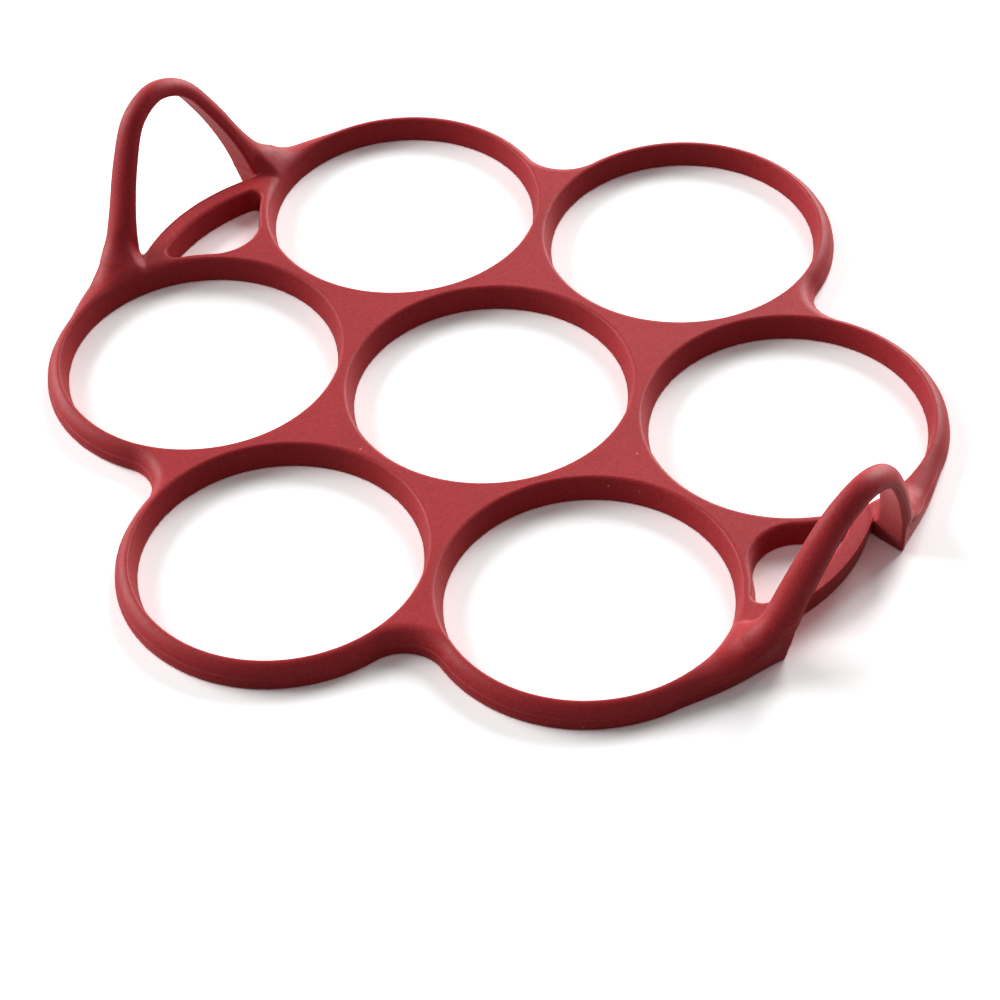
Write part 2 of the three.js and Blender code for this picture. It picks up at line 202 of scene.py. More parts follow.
# Camera, fitted to the photograph's seven rings, in degrees and millimetres
camera_azimuth = 44.70  # from -Y towards +X
camera_elevation = 43.09
camera_roll = 3.917
camera_place = (268.7, -270.8, 354.2)
sensor_width = 36.0
lens = 119.2
lens_shift = (0.005, -0.088)

# Worked out from the sizes above
ring_pitch = 2 * bore_radius + shared_wall
rim_radius = bore_radius + rim_width
sixth = math.pi / 3
quarter = math.pi / 2
ring_x = ring_pitch * math.cos(sixth / 2)
ring_y = ring_pitch / 2
leg_x = ring_x + rim_radius + leg_standoff
leg_y = ring_y - leg_drop
face_y = leg_y - leg_thickness / 2
bridge_x = leg_x + bridge_bow - bridge_radius
bridge_inner_radius = bridge_radius - bridge_width
window_wall_radius = bore_radius + window_wall
web_cut = bore_radius + web_land
neck_top = foot_height + neck_length
arch_overrun = arch_height / 3  # of the centre line's table past the crown
far_inside = -ring_pitch  # a distance that leaves every cut alone
lean_up = np.array([math.sin(handle_lean), 0, math.cos(handle_lean)])
leg_foot = np.array([leg_x, 0, 0])
ring_centres = [(0.0, 0.0)] + [
    (ring_pitch * math.cos(sixth * (index + 0.5)), ring_pitch * math.sin(sixth * (index + 0.5)))
    for index in range(6)
]
beside = np.array([ring_x, ring_y])
behind = np.array([0, ring_pitch])


def circles_meet(first, first_radius, second, second_radius):
    """The meeting place, on the side of +X, of circles round two points."""
    span = np.subtract(second, first)
    distance = np.hypot(*span)
    along = (distance**2 + first_radius**2 - second_radius**2) / (2 * distance)
    across = math.sqrt(first_radius**2 - along**2)
    span = span / distance
    return first + span * along + np.array([span[1], -span[0]]) * math.copysign(across, span[1])


notch = circles_meet(beside, rim_radius + notch_radius, behind, rim_radius + notch_radius)
foot_corner = np.array([leg_x + foot_reach - foot_corner_round, face_y + foot_corner_round])
to_corner = foot_corner - beside
side_angle = math.atan2(to_corner[1], to_corner[0]) + math.acos(
    (rim_radius - foot_corner_round) / np.hypot(*to_corner)
)
side_run = math.sqrt(to_corner @ to_corner - (rim_radius - foot_corner_round) ** 2)
window_tip = np.array(
    [ring_x + math.sqrt((window_wall_radius + window_tip_radius) ** 2 - ring_y**2), 0]
)
window_corner = circles_meet(
    np.array([bridge_x, 0]),
    bridge_inner_radius - window_corner_radius,
    beside,
    window_wall_radius + window_corner_radius,
)


def smooth_share(value):
    """A smooth climb from 0 to 1."""
    value = np.clip(value, 0, 1)
    return value * value * (3 - 2 * value)


def round_cut(radius, *fields):
    """What lies inside all the fields, with its edges rounded."""
    worst = np.maximum.reduce(fields)
    reach = np.sqrt(sum(np.maximum(field + radius, 0) ** 2 for field in fields))
    return np.minimum(worst, -radius) + reach


def round_join(radius, first, second):
    """What lies inside either field, with a fillet in the corner between them."""
    reach = np.hypot(np.maximum(radius - first, 0), np.maximum(radius - second, 0))
    return np.maximum(np.minimum(first, second), radius) - reach


def in_wedge(x, y, apex, first, second):
    """True between the two directions from an apex, given as vectors."""
    dx, dy = x - apex[0], y - apex[1]
    turn = np.sign(first[0] * second[1] - first[1] * second[0])
    after_first = (first[0] * dy - first[1] * dx) * turn >= 0
    before_second = (dx * second[1] - dy * second[0]) * turn >= 0
    return after_first & before_second


def foot_run(x, y):
    """How far a place lies along the foot's straight side, from where that leaves the rim."""
    return (y - ring_y) * math.cos(side_angle) - (x - ring_x) * math.sin(side_angle)


def outline_field(x, y):
    """Distance to the outline of rims and feet at the parting line, below zero inside."""
    rim_beside = np.hypot(x - ring_x, y - ring_y) - rim_radius
    rim_behind = np.hypot(x, y - ring_pitch) - rim_radius
    side = (x - ring_x) * math.cos(side_angle) + (y - ring_y) * math.sin(side_angle) - rim_radius
    share = np.clip(-foot_run(x, y) / side_run, 0, 1)
    side = side - foot_bulge * (4 * share * (1 - share)) ** 2
    foot = np.where(foot_run(x, y) < 0, side, rim_beside)
    rims = np.minimum.reduce([rim_beside, rim_behind, foot])
    hollow = notch_radius - np.hypot(x - notch[0], y - notch[1])
    return np.where(in_wedge(x, y, notch, beside - notch, behind - notch), hollow, rims)


def parting_at(run):
    """The parting line's height, which climbs along a foot's outer side."""
    share = np.clip(-run / side_run, 0, 1)
    first = rim_climb * smooth_share(share / climb_turn_share)
    second = np.clip((share - climb_turn_share) / (1 - climb_turn_share), 0, 1) ** 2
    return parting_height + first + foot_climb * second


def tray_field(x, y, z):
    """The tray without its legs: domed rims and feet, and the bridges, under a flat top."""
    run = foot_run(x, y)
    draft = math.tan(rim_draft)
    wall = (outline_field(x, y) + draft * (z - parting_at(run))) * math.cos(rim_draft)
    dome = rim_round + (foot_round - rim_round) * smooth_share(-run / foot_round_length)
    rims = round_cut(dome, wall, z - tray_height)
    slope = (bridge_floor_inset - bridge_top_inset) / tray_height
    bridge = np.hypot(x - bridge_x, y) - bridge_radius + bridge_top_inset
    bridge = bridge + slope * (tray_height - z)
    end = np.minimum(face_y + foot_recess - y, bridge)
    return round_cut(edge_round, rims, np.where((run < 0) & (x > ring_x), end, far_inside))


def released(run):
    """0 where the wall above the parting line draws in, and 1 where it swings outwards."""
    return smooth_share((-run - release_start) / release_length)


def upper_wall(z, outline, run):
    """The walls that the upper mould shapes, above the parting line."""
    turned = released(run)
    draft = math.tan(rim_draft)
    height = z - parting_at(run)
    slope = np.where(height > 0, draft - (draft + wall_release) * turned, draft)
    return (outline + slope * height) / np.sqrt(1 + slope**2)


def lower_slope(run):
    """How fast the lower mould's wall draws in from the parting line towards the floor."""
    share = np.clip(-run / side_run, 0, 1)
    return (rim_floor_inset + (foot_floor_inset - rim_floor_inset) * share) / parting_at(run)


def lower_wall(z, outline, run):
    """The walls that the lower mould shapes, below the parting line."""
    parting, slope = parting_at(run), lower_slope(run)
    wall = outline + slope * (parting - z) - wall_release * np.maximum(z - parting, 0)
    return wall / np.sqrt(1 + slope**2)


def bore_fields(x, y, z):
    """Distances into each bore from its drafted wall."""
    return [
        z * math.sin(bore_draft)
        - (np.hypot(x - centre[0], y - centre[1]) - bore_radius) * math.cos(bore_draft)
        for centre in ring_centres
    ]


def window_field(x, y, z):
    """Distance into the tray from the window's wall."""
    ring = window_wall_radius - np.hypot(x - ring_x, y - ring_y)
    bridge = np.hypot(x - bridge_x, y) - bridge_inner_radius
    tip = np.hypot(x - window_tip[0], y - window_tip[1]) - window_tip_radius
    corner = np.hypot(x - window_corner[0], y - window_corner[1]) - window_corner_radius
    along_mirror = np.array([-1.0, -1e-6])  # a hair past it, so that the plane itself is inside
    at_tip = in_wedge(x, y, window_tip, beside - window_tip, along_mirror)
    at_corner = in_wedge(
        x, y, window_corner, beside - window_corner, window_corner - np.array([bridge_x, 0])
    )
    void = np.maximum(np.where(at_tip, tip, ring), bridge)
    void = np.where(at_corner, corner, void)
    return z * math.sin(window_draft) - void * math.cos(window_draft)


def arch_table():
    """The loop's centre line by its length: half width, height and direction, over the crown."""
    half = [
        np.array([spread * leg_y, height * arch_height])
        for spread, height in zip(arch_spread_shares, arch_height_shares)
    ]
    right = [3 * half[0] - 2 * half[1], 2 * half[0] - half[1], *half]
    flip = np.array([-1, 1])
    places = [*right, np.array([0, arch_height]), *[place * flip for place in reversed(right)]]
    points = []
    for a, b, c, d in zip(places, places[1:], places[2:], places[3:]):
        spans = ((a, b), (b, c), (c, d))
        knots = np.cumsum([0] + [math.sqrt(np.hypot(*(q - p))) for p, q in spans])
        t = np.linspace(knots[1], knots[2], arch_steps, endpoint=False)[:, None]

        def mix(p, q, low, high):
            return p * (high - t) / (high - low) + q * (t - low) / (high - low)

        ab, bc, cd = mix(a, b, *knots[:2]), mix(b, c, *knots[1:3]), mix(c, d, *knots[2:])
        abc, bcd = mix(ab, bc, knots[0], knots[2]), mix(bc, cd, knots[1], knots[3])
        points.append(mix(abc, bcd, knots[1], knots[2]))
    line = np.concatenate(points)
    lengths = np.concatenate([[0], np.cumsum(np.hypot(*np.diff(line, axis=0).T))])
    crown = lengths[np.argmax(line[:, 1])]
    directions = np.gradient(line, lengths, axis=0)
    keep = lengths < crown + arch_overrun
    return lengths[keep], line[keep], directions[keep]


arch_lengths, arch_line, arch_directions = arch_table()


def arch_place(length):
    """The place on the loop's centre line at a length, and the line's direction there."""
    place = [np.interp(length, arch_lengths, arch_line[:, axis]) for axis in (0, 1)]
    along = [np.interp(length, arch_lengths, arch_directions[:, axis]) for axis in (0, 1)]
    size = np.hypot(*along)
    return place[0], place[1], along[0] / size, along[1] / size


def arch_offset(spread, height):
    """Signed distance outwards from the loop's centre line, and the nearest place's height."""
    coarse = arch_line[::arch_stride]
    best = np.full(spread.shape, np.inf)
    length = np.zeros(spread.shape)
    for place, start in zip(coarse, arch_lengths[::arch_stride]):
        distance = (spread - place[0]) ** 2 + (height - place[1]) ** 2
        nearer = distance < best
        best = np.where(nearer, distance, best)
        length = np.where(nearer, start, length)
    for _ in range(arch_moves):
        x, y, along_x, along_y = arch_place(length)
        step = (spread - x) * along_x + (height - y) * along_y
        length = np.clip(length + np.clip(step, -1, 1), arch_lengths[0], arch_lengths[-1])
    x, y, along_x, along_y = arch_place(length)
    outwards = (spread - x) * along_y - (height - y) * along_x
    return np.copysign(np.hypot(spread - x, height - y), outwards), y


def flare_at(height):
    """How far the fillet at a leg's foot reaches out at a height."""
    rise = np.clip((np.maximum(height, flare_low) - flare_start) / flare_height, 0, 1)
    return flare_reach * (1 - np.sqrt(1 - (1 - rise) ** 2))


def lean_frame(x, z):
    """Across the loop's plane, away from the tray, and up its lean."""
    across = (x - leg_x) * math.cos(handle_lean) - z * math.sin(handle_lean)
    height = (x - leg_x) * math.sin(handle_lean) + z * math.cos(handle_lean)
    return across, height


def leg_field(x, y, z):
    """A loop with a flat inner face, a domed outer side, and the fillets at its feet."""
    across, height = lean_frame(x, z)
    offset, level = arch_offset(y, height)
    share = np.clip(level / arch_height, 0, 1)
    half_width = (leg_width + (crown_width - leg_width) * share) / 2
    thickness = leg_thickness + (crown_thickness - leg_thickness) * share
    growth = flare_at(level)
    shoulder = (section_shoulder_share - 0.5) * thickness
    dome = thickness / 2 - shoulder + growth
    rise = offset - shoulder
    side = across - flare_shift_share * growth * np.clip(rise / dome, 0, 1)
    ratio = np.hypot(side / half_width, rise / dome)
    slope = np.hypot(side / half_width**2, rise / dome**2)
    ellipse = ratio * (ratio - 1) / np.maximum(slope, 1e-6)
    outer = np.where(rise > 0, ellipse, np.abs(side) - half_width)
    return round_cut(leg_corner_round, outer, -offset - thickness / 2), offset


def joined_to_leg(tray, x, y, z):
    """The tray with a leg, and a fillet between them that is small at the flat inner face."""
    leg, offset = leg_field(x, y, z)
    raised = smooth_share(2 * z / tray_height - 1)
    at_face = face_join_round + (face_top_round - face_join_round) * raised
    turned = smooth_share(offset / join_turn + 0.5)
    return round_join(at_face + (valley_round - at_face) * turned, tray, leg)


def near_handle(x, y):
    return (x > leg_x - join_margins[0]) & (y < leg_y + join_margins[1])


def surface_field(points):
    """Distance to the moulding's surface in millimetres, below zero inside."""
    x, y, z = np.abs(points[:, 0]), np.abs(points[:, 1]), points[:, 2]
    outline, run = outline_field(x, y), foot_run(x, y)
    body = tray_field(x, y, z)
    near = near_handle(x, y)
    body[near] = joined_to_leg(body[near], x[near], y[near], z[near])
    flare = flare_round + (corner_round - flare_round) * released(run)
    body = round_cut(flare, body, upper_wall(z, outline, run))
    body = round_cut(edge_round, body, lower_wall(z, outline, run))
    from_leg = np.hypot(x - leg_x, y - leg_y) / foot_bore_reach
    beside_leg = smooth_share(foot_bore_fade * (1 - from_leg))
    bore_edge = bore_round + (foot_bore_round - bore_round) * beside_leg
    body = round_cut(bore_edge, body, *bore_fields(x, y, z))
    body = round_cut(window_round, body, window_field(x, y, z))
    return round_cut(edge_round, body, -z)


def slopes(points):
    """The field's slope at each point, which is about a unit vector away from the moulding."""
    found = np.empty_like(points)
    for axis in range(3):
        step = np.zeros(3)
        step[axis] = probe
        found[:, axis] = surface_field(points + step) - surface_field(points - step)
    return found / (2 * probe)


def unit(vectors):
    return vectors / np.maximum(np.linalg.norm(vectors, axis=1, keepdims=True), 1e-12)


def on_surface(points, steps=projections):
    """Moves points on to the surface along its slope. Those on a mirror plane stay on it."""
    flat = points[:, :2] == 0
    for _ in range(steps):
        slope = slopes(points)
        value = surface_field(points)
        steepness = np.maximum((slope**2).sum(1, keepdims=True), least_slope)
        move = value[:, None] * slope / steepness
        size = np.linalg.norm(move, axis=1, keepdims=True)
        points = points - move * np.minimum(1, cell / 2 / np.maximum(size, 1e-12))
        points[:, :2][flat] = 0
    return points


def field_grid():
    """The field on a grid over +X and +Y. The grid's first cells straddle the mirror planes."""
    reach = np.array([leg_x, ring_pitch + rim_radius, arch_height]) + grid_margins
    counts = np.ceil(reach / cell + grid_start).astype(int) + 1
    axes = [(np.arange(count) - start) * cell for count, start in zip(counts, grid_start)]
    values = np.full(counts, cell, dtype=np.float64)
    low = axes[2] < tray_height + 2 * cell
    blocks = [
        (np.ones(counts[0], bool), np.ones(counts[1], bool), low),
        (axes[0] > leg_x - loop_margins[0], axes[1] < leg_y + loop_margins[1], ~low),
    ]
    for chosen in blocks:
        index = np.ix_(*chosen)
        x, y, z = np.meshgrid(*[axis[keep] for axis, keep in zip(axes, chosen)], indexing="ij")
        points = np.stack([x.ravel(), y.ravel(), z.ravel()], axis=1)
        values[index] = np.concatenate(
            [surface_field(part) for part in np.array_split(points, len(points) // batch + 1)]
        ).reshape(x.shape)
    return axes, values


def crossed_cells(axes, values):
    """The grid cells that the surface crosses, with one point in each."""
    corners = [(i, j, k) for i in (0, 1) for j in (0, 1) for k in (0, 1)]
    edges = [
        (a, b)
        for a in range(8)
        for b in range(a + 1, 8)
        if sum(p != q for p, q in zip(corners[a], corners[b])) == 1
    ]
    shape = tuple(n - 1 for n in values.shape)

    def shifted(grid, corner):
        return grid[tuple(slice(c, c + n) for c, n in zip(corner, shape))]

    count = sum(shifted(values < 0, corner).astype(np.int8) for corner in corners)
    cells = np.argwhere((count > 0) & (count < 8))
    at_corners = np.stack([shifted(values, corner)[tuple(cells.T)] for corner in corners], axis=1)
    total = np.zeros((len(cells), 3))
    crossings = np.zeros(len(cells))
    for a, b in edges:
        first, second = at_corners[:, a], at_corners[:, b]
        crosses = (first < 0) != (second < 0)
        part = np.where(crosses, first / np.where(crosses, first - second, 1), 0)
        place = np.array(corners[a]) + part[:, None] * (np.array(corners[b]) - np.array(corners[a]))
        total += np.where(crosses[:, None], place, 0)
        crossings += crosses
    origin = np.array([axis[0] for axis in axes])
    points = origin + (cells + total / crossings[:, None]) * cell
    for axis in (0, 1):
        points[cells[:, axis] == 0, axis] = 0
    return cells, points


def faces_across(axis, inside, ids):
    """Four-sided faces across the grid edges along an axis that leave or enter the material."""
    others = [other for other in range(3) if other != axis]
    step = np.eye(3, dtype=int)
    sizes = list(enumerate(ids.shape))
    start = inside[tuple(slice(1, n) if other in others else slice(0, n) for other, n in sizes)]
    end = inside[tuple(slice(1, n + 1) if other == axis else slice(1, n) for other, n in sizes)]
    nodes = np.argwhere(start != end) + np.array([int(other in others) for other in range(3)])
    leaving = start[start != end]
    around = [
        nodes,
        nodes - step[others[0]],
        nodes - step[others[0]] - step[others[1]],
        nodes - step[others[1]],
    ]
    quads = np.stack([ids[tuple(corner.T)] for corner in around], axis=1)
    turned = leaving if axis == 1 else ~leaving
    quads[turned] = quads[turned][:, ::-1]
    return quads


def net_of(axes, values):
    """A net over the surface, with one point in each grid cell that the surface crosses."""
    cells, points = crossed_cells(axes, values)
    ids = np.full([n - 1 for n in values.shape], -1, dtype=np.int64)
    ids[tuple(cells.T)] = np.arange(len(cells))
    return points, np.concatenate([faces_across(axis, values < 0, ids) for axis in range(3)])


def mirrored_whole(points, faces):
    """The whole surface from a quarter of it, with shared points on the mirror planes."""
    for axis in (0, 1):
        on_plane = points[:, axis] == 0
        index = np.cumsum(~on_plane) - 1 + len(points)
        index[on_plane] = np.flatnonzero(on_plane)
        copy = points[~on_plane].copy()
        copy[:, axis] *= -1
        faces = np.concatenate([faces, index[faces][:, ::-1]])
        points = np.concatenate([points, copy])
    return points, faces


# Cuts: a cut is a direction and a reach, and a place is kept where its distance along the
# direction is no more than the reach. A region is a list of cuts.


def cut(centre, direction, distance):
    """An upright cut at a distance from a place on the floor."""
    normal = np.array([math.cos(direction), math.sin(direction), 0])
    return normal, float(normal[:2] @ np.asarray(centre) + distance)


def beyond(kept):
    return -kept[0], -kept[1]


def below(height):
    """A cut across the legs at a height along their lean."""
    return lean_up, float(lean_up @ leg_foot + height)


def flipped(region, x_sign, y_sign):
    signs = np.array([x_sign, y_sign, 1])
    return [(normal * signs, reach) for normal, reach in region]


def ring_region(angle):
    centre = (ring_pitch * math.cos(angle), ring_pitch * math.sin(angle))
    inwards = angle + math.pi
    walls = [cut(centre, inwards + turn, ring_pitch / 2) for turn in (0, sixth, -sixth)]
    webs = [cut(centre, inwards + turn, web_cut) for turn in (sixth / 2, -sixth / 2)]
    return walls + webs


def regions():
    """Each CAD node's region."""
    middle = (0.0, 0.0)
    side_start = beside + rim_radius * np.array([math.cos(side_angle), math.sin(side_angle)])
    foot_line = side_start - window_corner
    foot_cut = cut(window_corner, math.atan2(foot_line[1], foot_line[0]) - quarter, 0)
    end_cut = cut(beside, -sixth, web_cut)
    window_middle = bridge_x + bridge_inner_radius - window_tip_radius
    foot = [beyond(foot_cut), beyond(cut(middle, quarter, window_corner[1])), below(foot_height)]
    neck = [beyond(below(foot_height)), below(neck_top), beyond(cut(middle, quarter, 0))]
    half_bridge = [beyond(foot_cut), cut(middle, quarter, window_corner[1])]
    half_end_web = [beyond(end_cut)]

    found = {"egg_ring_centre": []}
    for index in range(6):
        found["egg_ring_centre"].append(cut(middle, sixth * (index + 0.5), ring_pitch / 2))
        found["egg_ring_centre"].append(cut(middle, sixth * index, web_cut))
    for y_sign, end in ((1, "back"), (-1, "front")):
        found[f"egg_ring_{end}"] = ring_region(y_sign * quarter)
        for x_sign, side in ((1, "right"), (-1, "left")):
            place = f"{side}_{end}"
            ring = ring_region(sixth / 2) + [foot_cut, end_cut]
            found[f"egg_ring_{place}"] = flipped(ring, x_sign, y_sign)
            found[f"handle_foot_{place}"] = flipped(foot, x_sign, y_sign)
            found[f"handle_neck_{place}"] = flipped(neck, x_sign, y_sign)
    names = ("right", "right_back", "left_back", "left", "left_front", "right_front")
    for index, name in enumerate(names):
        angle = sixth * index
        region = [beyond(cut(middle, angle, web_cut))]
        for turn in (1, -1):
            centre = ring_pitch * np.array(
                [math.cos(angle + turn * sixth / 2), math.sin(angle + turn * sixth / 2)]
            )
            region.append(beyond(cut(centre, angle + 4 * turn * sixth, web_cut)))
        found[f"web_{name}"] = region
    for x_sign, side in ((1, "right"), (-1, "left")):
        bridge = half_bridge + flipped(half_bridge, 1, -1) + [below(foot_height)]
        end_web = half_end_web + flipped(half_end_web, 1, -1) + [cut(middle, 0, window_middle)]
        found[f"bridge_{side}"] = flipped(bridge, x_sign, 1)
        found[f"end_web_{side}"] = flipped(end_web, x_sign, 1)
        found[f"handle_loop_{side}"] = flipped([beyond(below(neck_top))], x_sign, 1)
    return found


def mesh_of(name, points, faces):
    mesh = bpy.data.meshes.new(name)
    mesh.from_pydata(points, [], faces)
    return mesh


def cut_out(name, region, points, faces):
    """The surface inside a region, closed by flat caps, which alone aren't smooth."""
    normals = np.array([normal for normal, _ in region])
    reaches = np.array([reach for _, reach in region])
    outside = points @ normals.T - reaches
    chosen = faces[(outside[faces].min(axis=1) < 0).all(axis=1)]
    used, index = np.unique(chosen, return_inverse=True)
    rough = mesh_of(name + "_rough", points[used], index.reshape(chosen.shape).tolist())
    body = bmesh.new()
    body.from_mesh(rough)
    bpy.data.meshes.remove(rough)
    for normal, reach in region:
        bmesh.ops.bisect_plane(
            body,
            geom=[*body.verts, *body.edges, *body.faces],
            dist=cut_snap,
            plane_co=Vector(normal * reach),
            plane_no=Vector(normal),
            clear_outer=True,
        )
    for face in body.faces:
        face.smooth = True
    close_cuts(body, region)
    return body


def close_cuts(body, region):
    """Fills the flat cuts, whose corners inside the material get upright edges first."""
    rim = [edge for edge in body.edges if edge.is_boundary]
    rim_points = {point for edge in rim for point in edge.verts}
    planes = {
        point: [
            index
            for index, (normal, reach) in enumerate(region)
            if abs(point.co.dot(Vector(normal)) - reach) < cap_reach
        ]
        for point in rim_points
    }
    corners = {}
    for point, on in planes.items():
        if len(on) > 1:
            corners.setdefault(tuple(on[:2]), []).append(point)
    upright = []
    for pair in corners.values():
        pair.sort(key=lambda point: point.co.z)
        for low, high in zip(pair[::2], pair[1::2]):
            upright.append(body.edges.new((low, high)))
    for index, (normal, _) in enumerate(region):
        edges = [
            edge
            for edge in rim + upright
            if all(index in planes[point] for point in edge.verts)
        ]
        if edges:
            outwards = Vector(normal)
            made = bmesh.ops.triangle_fill(body, use_beauty=True, edges=edges, normal=outwards)
            for face in made["geom"]:
                if isinstance(face, bmesh.types.BMFace):
                    face.smooth = False
                    face.normal_update()
                    if face.normal.dot(outwards) < 0:
                        face.normal_flip()


def finish_piece(name, body):
    """An object in metres, whose shading follows the field, and caps that stay flat."""
    mesh = bpy.data.meshes.new(name)
    body.to_mesh(mesh)
    body.free()
    count = len(mesh.vertices)
    points = np.empty(count * 3)
    mesh.vertices.foreach_get("co", points)
    points = points.reshape(-1, 3)
    vertex_normals = unit(slopes(points))
    loop_points = np.empty(len(mesh.loops), dtype=np.int32)
    mesh.loops.foreach_get("vertex_index", loop_points)
    totals = np.empty(len(mesh.polygons), dtype=np.int32)
    mesh.polygons.foreach_get("loop_total", totals)
    face_normals = np.empty(len(mesh.polygons) * 3)
    mesh.polygons.foreach_get("normal", face_normals)
    smooth = np.empty(len(mesh.polygons), dtype=bool)
    mesh.polygons.foreach_get("use_smooth", smooth)
    corner_normals = vertex_normals[loop_points]
    face_of_corner = np.repeat(np.arange(len(totals)), totals)
    cap = ~smooth[face_of_corner]
    corner_normals[cap] = face_normals.reshape(-1, 3)[face_of_corner[cap]]
    mesh.transform(Matrix.Scale(MM, 4))
    mesh.polygons.foreach_set("use_smooth", np.ones(len(totals), bool))
    mesh.normals_split_custom_set(corner_normals)
    mesh.update()
    piece = bpy.data.objects.new(name, mesh)
    bpy.context.scene.collection.objects.link(piece)
    return piece


# The thin bead of flash that the mould's parting line leaves


def arc(centre, radius, start, end):
    """Points along an arc."""
    count = max(2, math.ceil(radius * abs(end - start) / flash_step))
    angles = np.linspace(start, end, count)
    return centre + radius * np.stack([np.cos(angles), np.sin(angles)], axis=1)


def angle_to(start, end):
    return math.atan2(end[1] - start[1], end[0] - start[0])


def crest_heights(plan):
    """How high the lower mould's wall reaches at each place along a foot's outer side."""
    heights = np.arange(parting_height / 2, flash_top, flash_step / 10)
    found = np.empty(len(plan))
    runs = foot_run(*plan.T)
    outwards = np.array([math.cos(side_angle), math.sin(side_angle)])
    for index, (place, level) in enumerate(zip(plan, parting_at(runs))):
        slope = lower_slope(runs[index])
        above = np.maximum(heights - level, 0)
        reach = slope * (heights - level) + wall_release * above
        x, y = (place + outwards * reach[:, None]).T
        inside = joined_to_leg(tray_field(x, y, heights), x, y, heights) < 0
        crest = heights[inside].max() if inside.any() else level
        found[index] = level + max(crest - level, 0) * released(runs[index])
    return found


def rim_line():
    """The parting line from a leg down its foot and round two rims to the mirror plane."""
    along = np.array([-math.sin(side_angle), math.cos(side_angle)])
    start = beside + rim_radius * np.array([math.cos(side_angle), math.sin(side_angle)])
    foot = start + along * np.arange(flash_inset - side_run, 0, flash_step / 2)[:, None]
    rims = np.concatenate(
        [
            arc(beside, rim_radius, side_angle, angle_to(beside, notch)),
            arc(notch, notch_radius, angle_to(notch, beside), angle_to(notch, behind)),
            arc(behind, rim_radius, angle_to(behind, notch), quarter),
        ]
    )
    heights = np.concatenate([crest_heights(foot), np.full(len(rims), parting_height)])
    return np.column_stack([np.concatenate([foot, rims]), heights])


def leg_line(top):
    """The parting line down a loop's outer edge, from the crown to a height above the floor."""
    crown = arch_lengths[np.argmax(arch_line[:, 1])]
    lengths = np.arange(crown, 0, -flash_step)
    lengths[0] = crown
    spread, level, along_x, along_y = arch_place(lengths)
    share = np.clip(level / arch_height, 0, 1)
    across = (leg_width + (crown_width - leg_width) * share) / 2
    height = level + flash_shift * along_x
    x = leg_x + across * math.cos(handle_lean) + height * math.sin(handle_lean)
    z = height * math.cos(handle_lean) - across * math.sin(handle_lean)
    line = np.column_stack([x, spread - flash_shift * along_y, z])
    return line[z > top]


def evened(line):
    """The line with its turns eased, in even steps, on the surface."""
    lengths = np.concatenate([[0], np.cumsum(np.linalg.norm(np.diff(line, axis=0), axis=1))])
    places = np.linspace(0, lengths[-1], math.ceil(lengths[-1] / flash_step))
    line = np.column_stack([np.interp(places, lengths, line[:, axis]) for axis in range(3)])
    for _ in range(flash_eases):
        line[1:-1] = (line[:-2] + 2 * line[1:-1] + line[2:]) / 4
    return on_surface(line)


def bead(name, line):
    """A thin closed bead on the surface along a line of points."""
    normals = unit(slopes(line))
    along = unit(np.gradient(line, axis=0))
    beside_line = unit(np.cross(along, normals))
    turns = 2 * math.pi * np.arange(flash_sides) / flash_sides
    rings = (line - normals * flash_sunk)[:, None] + flash_radius * (
        np.cos(turns)[None, :, None] * normals[:, None]
        + np.sin(turns)[None, :, None] * beside_line[:, None]
    )
    count = len(line)
    faces = [
        [
            ring * flash_sides + side,
            (ring + 1) * flash_sides + side,
            (ring + 1) * flash_sides + (side + 1) % flash_sides,
            ring * flash_sides + (side + 1) % flash_sides,
        ]
        for ring in range(count - 1)
        for side in range(flash_sides)
    ]
    faces.append(list(range(flash_sides)))
    faces.append([(count - 1) * flash_sides + side for side in reversed(range(flash_sides))])
    body = bmesh.new()
    rough = mesh_of(name + "_rough", rings.reshape(-1, 3), faces)
    body.from_mesh(rough)
    bpy.data.meshes.remove(rough)
    bmesh.ops.recalc_face_normals(body, faces=body.faces)
    mesh = bpy.data.meshes.new(name)
    body.to_mesh(mesh)
    body.free()
    mesh.transform(Matrix.Scale(MM, 4))
    mesh.polygons.foreach_set("use_smooth", np.ones(len(mesh.polygons), bool))
    piece = bpy.data.objects.new(name, mesh)
    bpy.context.scene.collection.objects.link(piece)
    return piece


def make_flash(material):
    """Beads along the rims and bridges ride on the tray; those on the loops only have their
    placement baked into the mesh.
    """
    rims = rim_line()
    line = evened(np.concatenate([leg_line(rims[0, 2] + flash_inset), rims]))
    _, heights = lean_frame(line[:, 0], line[:, 2])
    foot_start = np.argmax(heights < foot_height)
    leg, quarter_line = line[: foot_start + 2], line[foot_start:]
    bridge = arc(
        np.array([bridge_x, 0]),
        bridge_radius - bridge_top_inset,
        -math.asin(face_y / bridge_radius),
        math.asin(face_y / bridge_radius),
    )
    bridge = evened(np.column_stack([bridge, np.full(len(bridge), tray_height)]))
    pieces = []
    for y_sign, end in ((1, "back"), (-1, "front")):
        half = np.concatenate([quarter_line, quarter_line[-2::-1] * [-1, 1, 1]]) * [1, y_sign, 1]
        pieces.append((bead(f"parting_flash_{end}", half), None))
    for x_sign, side in ((1, "right"), (-1, "left")):
        loop = np.concatenate([leg[::-1], leg[1:] * [1, -1, 1]]) * [x_sign, 1, 1]
        pieces.append((bead(f"parting_flash_handle_{side}", loop), side))
        pieces.append((bead(f"parting_flash_bridge_{side}", bridge * [x_sign, 1, 1]), None))
    for piece, side in pieces:
        piece.data.materials.append(material)
        if side:
            bend_with_handle(piece)
        else:
            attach(piece, "tray")


# Materials


def srgb(red, green, blue):
    """A colour as it is seen, in levels of 255, as the shader wants it."""
    linear = [
        level / 12.92 if level <= 0.04045 else ((level + 0.055) / 1.055) ** 2.4
        for level in (red / 255, green / 255, blue / 255)
    ]
    return (*linear, 1)


def grey(level):
    return (level, level, level, 1)


